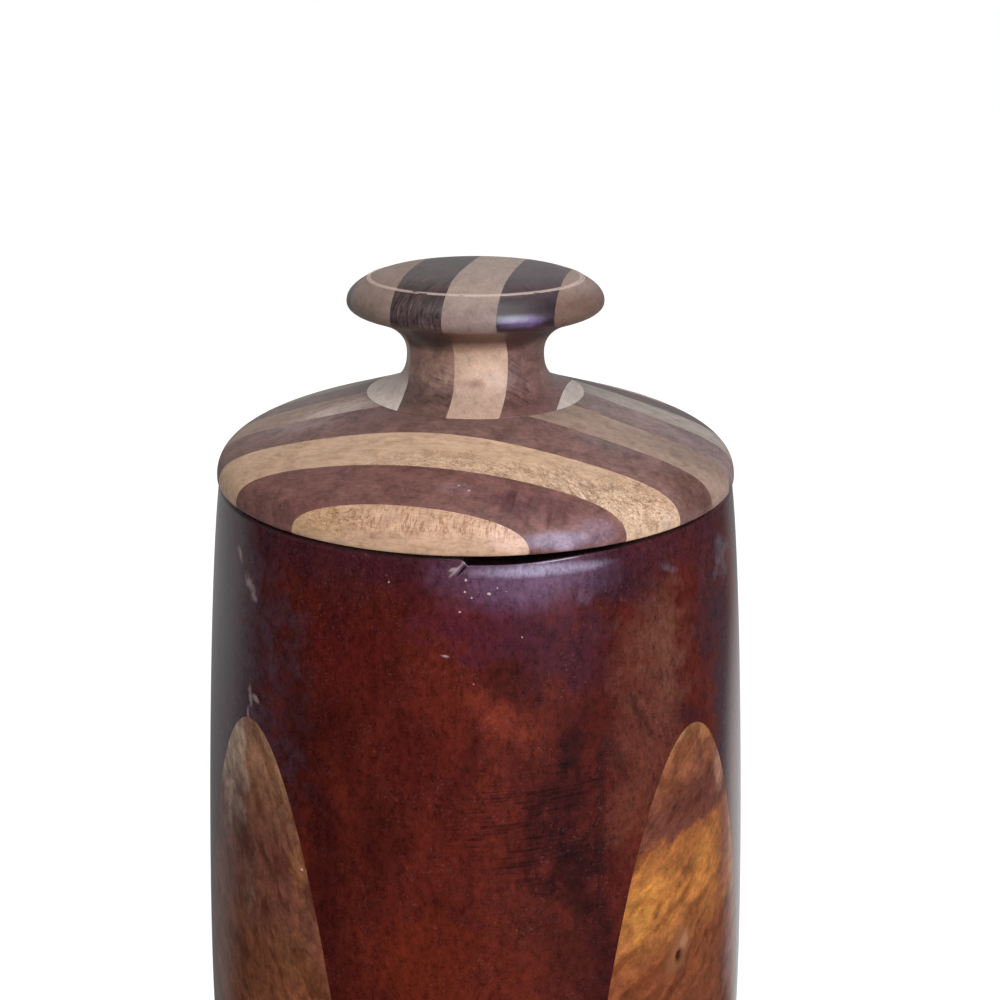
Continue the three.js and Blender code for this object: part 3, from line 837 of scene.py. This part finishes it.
def chatter(degrees, tip, skipped, scraped):
    """Fine marks that the gouge left as it skipped across the foot's end grain, besides the worn ridge.
    Skipped is how strong they are, and scraped is how strong the upright ticks on the cap's edge are."""
    def marked(wood, colour):
        skips = wood.noise((7, 7, 0.42), 31.0, turn=degrees, tip=tip, detail=3.0, rough=0.6, warp=0.5)
        place = heading(degrees) * 19 * MM + Vector((0, 0, knob_waist - 4 * MM))
        inside = wood.times(wood.spot(place, (8, 8, 8), degrees), skipped)
        colour = wood.shade(colour, wood.times(inside, wood.step(skips, 0.5, 0.58)), (0.42, 0.36, 0.36))
        colour = wood.shade(colour, wood.times(inside, wood.step(skips, 0.46, 0.38)), (1.3, 1.28, 1.26))
        ticks = wood.noise((0.4, 6, 2.4), 17.0, turn=degrees, detail=3.0, rough=0.6, warp=0.3)
        edge = wood.step(wood.height(), cap_lip - 0.8 * MM, cap_lip + 1.2 * MM, scraped)
        colour = wood.shade(colour, wood.times(edge, wood.step(ticks, 0.52, 0.6)), (0.34, 0.28, 0.3))
        colour = wood.shade(colour, wood.times(edge, wood.step(ticks, 0.46, 0.38)), (1.7, 1.6, 1.6))
        return worn_ridge(wood, colour)
    return marked


knob_tones = [
    # foot, waist, cove under the cap, cap side and cap top; the cove tones are painted shade under the cap
    (tint(120, 96, 88), tint(120, 96, 88), tint(80, 58, 52), tint(92, 76, 76), tint(84, 68, 70)),
    (tint(238, 220, 208), tint(206, 188, 176), tint(120, 96, 84), tint(140, 120, 110), tint(148, 125, 115)),
    (tint(128, 98, 88), tint(176, 137, 121), tint(56, 34, 30), tint(76, 58, 58), tint(70, 51, 50)),
    (tint(210, 176, 156), tint(218, 182, 160), tint(96, 62, 50), tint(143, 121, 115), tint(166, 145, 134)),
    (tint(122, 86, 80), tint(128, 92, 84), tint(60, 36, 34), tint(44, 20, 34), tint(74, 55, 60)),
    (tint(212, 196, 188), tint(200, 184, 174), tint(110, 80, 68), tint(114, 88, 78), tint(152, 129, 118)),
]


def on_knob(degrees, radius, level):
    """A point of the knob, to place a mark by. The radius and the level over the lid are in mm."""
    return heading(degrees) * radius * MM + Vector((0, 0, knob_base + level * MM))


knob_zones = {
    1: [(on_knob(-62, 22, 2), (5, 5, 2), tint(214, 196, 186), 0.6)],
    # Board 3's dark zone just under the cap is painted shade of the cap.
    2: [(on_knob(-48, 17, 15), (18, 14, 4.8), tint(50, 30, 27), 0.85)],
    3: [(on_knob(0, 17, 5.5), (3, 4, 1.6), tint(164, 128, 112), 0.7),
        (on_knob(2, 16, 9), (5, 5, 3), tint(226, 190, 164), 0.6)],
    # Board 5's dark zone just under the cap is painted shade of the cap.
    4: [(on_knob(26, 18, 15.5), (10, 12, 3.6), tint(66, 42, 40), 0.7),
        # A bluish patch on board 5's cap edge: painted highlight of the window lamp.
        (on_knob(19, 29, 21.6), (9, 6, 1.8), tint(124, 98, 156), 0.5)],
}
knob_levels = (0, 3.5, 6, 12, 15.5, 18.6, 19.6, 24, 26.5, 30)
knob_marks = {2: chatter(-26, 12, 0.55, 1.0), 4: chatter(30, 36, 0.7, 0.2)}
knob_gloss = 1.0
knob_blank = turned(knob_outline(), knob_facets)
for number, (foot, waist, shaded_cove, side, top) in enumerate(knob_tones):
    tones = (foot, foot, waist, waist, shaded_cove, shaded_cove, side, side, top, top)
    levels = [(knob_base / MM + level, tone) for level, tone in zip(knob_levels, tones)]
    name = f"knob board {number + 1}"
    marks = {"zones": knob_zones.get(number, ()), "worn": knob_marks.get(number, worn_ridge)}
    if number % 2:
        wood = pale_wood(name, 4.3 * number + 60, knob_facing, levels, figure=0.75, **marks)
    else:
        wood = dark_wood(name, 5.1 * number + 40, knob_facing, levels, gloss=knob_gloss, **marks)
    piece = board(knob_blank, knob_left, knob_joints, number)
    if number < len(knob_joints):
        finished(f"knob_board_{number + 1}", piece, f"knob_strip_{number + 1}", "lid", wood)
        continue
    for part, side_of_waist in (("cap", 1), ("foot", -1)):
        end = piece.copy()
        other = [vert for vert in end.verts if (vert.co.z - knob_waist) * side_of_waist < 0]
        bmesh.ops.delete(end, geom=other, context="VERTS")
        finished(f"knob_board_6_{part}", end, f"knob_strip_6_{part}", "lid", wood)
    piece.free()
knob_blank.free()

# Table and light: a plain white table and backdrop, even light all round, one soft lamp above, and one
# small window at the front right, low enough to shine on the edges of the cap, lid and rim.


def table_finish():
    """White for the camera, and it still takes the vase's shadow. In the vase's gloss it is white behind
    the vase and dark in front, as lit paper behind a real vase and the dim room in front of it are."""
    paper = Finish("white table")
    seen = paper.node("LightPath").outputs
    straight = paper.maths("MAXIMUM", seen["Is Camera Ray"], seen["Is Transmission Ray"])
    straight = paper.maths("MAXIMUM", straight, seen["Is Glossy Ray"])
    outward = paper.node("VectorMath", {0: paper.place}, operation="NORMALIZE").outputs[0]
    outward = paper.node("SeparateXYZ", {0: outward}).outputs
    far = paper.node("VectorMath", {0: paper.place}, operation="LENGTH").outputs[1]
    near = paper.step(far, 0.75, 0.35)
    left = paper.maths("SUBTRACT", 0.25, paper.times(near, 0.1))
    left = paper.times(paper.step(outward["Y"], 0.15, 0.5), left)
    right = paper.maths("ADD", paper.times(near, 0.3), 0.19)
    back = paper.maths("ADD", outward["Y"], paper.times(near, 0.2))
    right = paper.maths("ADD", paper.times(paper.step(back, 0.62, 0.86), right), 0.04)
    lit = paper.node("Mix", {0: paper.step(outward["X"], -0.3, 0.3), 2: left, 3: right}, data_type="FLOAT")
    unlit = paper.times(paper.maths("SUBTRACT", 1.0, lit.outputs[0]), seen["Is Glossy Ray"])
    colour = paper.mix(paper.noise((2, 2, 2), 1.0), tint(206, 206, 206), tint(212, 212, 212))
    plain = paper.node("BsdfDiffuse", {"Color": colour})
    faint = paper.node("BsdfDiffuse", {"Color": (0.42, 0.42, 0.42, 1)})
    glow = paper.node("Emission", {"Color": (1, 1, 1, 1), "Strength": 0.87})
    white = paper.node("AddShader", {0: faint.outputs[0], 1: glow.outputs[0]})
    both = paper.node("MixShader", {0: straight, 1: plain.outputs[0], 2: white.outputs[0]})
    dark = paper.node("BsdfDiffuse", {"Color": (0, 0, 0, 1)})
    both = paper.node("MixShader", {0: unlit, 1: both.outputs[0], 2: dark.outputs[0]})
    paper.node("OutputMaterial", {"Surface": both.outputs[0]})
    return paper.material


table_reach = 6.0
table = bmesh.new()
bmesh.ops.create_grid(table, x_segments=8, y_segments=8, size=table_reach)
table_mesh = bpy.data.meshes.new("table")
table.to_mesh(table_mesh)
table.free()
table_mesh.materials.append(table_finish())
table_top = bpy.data.objects.new("table", table_mesh)
bpy.context.scene.collection.objects.link(table_top)

world = bpy.data.worlds.new("white room")
bpy.context.scene.world = world
world.use_nodes = True
room = world.node_tree
room.nodes.clear()
way = shader_node(room, "SeparateXYZ", {0: shader_node(room, "TexCoord").outputs["Generated"]})
behind = shader_node(room, "MapRange", {"Value": way.outputs[1], "From Min": 0.5, "From Max": 0.93,
                                        "To Min": 0.08, "To Max": 0.45},
                     interpolation_type="SMOOTHSTEP")
seen = shader_node(room, "LightPath").outputs
straight = shader_node(room, "Math", {0: seen["Is Camera Ray"], 1: seen["Is Transmission Ray"]},
                       operation="MAXIMUM")
dim = shader_node(room, "Mix", {0: seen["Is Glossy Ray"], 2: 0.39, 3: behind.outputs[0]},
                  data_type="FLOAT")
strength = shader_node(room, "Mix", {0: straight.outputs[0], 2: dim.outputs[0], 3: 1.0},
                       data_type="FLOAT")
sky = shader_node(room, "Background", {"Color": (1, 1, 1, 1), "Strength": strength.outputs[0]})
shader_node(room, "OutputWorld", {"Surface": sky.outputs[0]})
lamp_target = Vector((0, 0, 0.26))


def lamp(name, place, width, height, watts, colour):
    """A soft rectangle of light that looks at the rim."""
    light = bpy.data.lights.new(name, "AREA")
    light.shape = "RECTANGLE"
    light.size = width
    light.size_y = height
    light.energy = watts
    light.color = colour
    holder = bpy.data.objects.new(name, light)
    bpy.context.scene.collection.objects.link(holder)
    holder.location = place
    holder.rotation_euler = (lamp_target - place).to_track_quat("-Z", "Y").to_euler()


lamp("window", heading(31) * 0.95 + Vector((0, 0, 0.6)), 0.3, 0.8, 9.0, (0.86, 0.92, 1.0))
lamp("ceiling", Vector((0.1, -0.25, 1.25)), 0.9, 0.9, 4.0, (1, 0.98, 0.95))

# Camera: it stands close in front of the vase, a little above its knob, and looks down on the lid, so the
# picture ends at about half of the body. The small shift puts the vase as far left as in the photograph.
camera_distance = 0.3143
camera_height = 0.3627
camera_tilt = 18.81
lens = bpy.data.cameras.new("camera")
lens.lens = 50
lens.sensor_width = 36
lens.shift_x = 0.0245
camera = bpy.data.objects.new("camera", lens)
camera.location = (0, -camera_distance, camera_height)
camera.rotation_euler = (math.radians(90 - camera_tilt), 0, 0)
bpy.context.scene.collection.objects.link(camera)
bpy.context.scene.camera = camera
bpy.context.scene.view_settings.view_transform = "Standard"
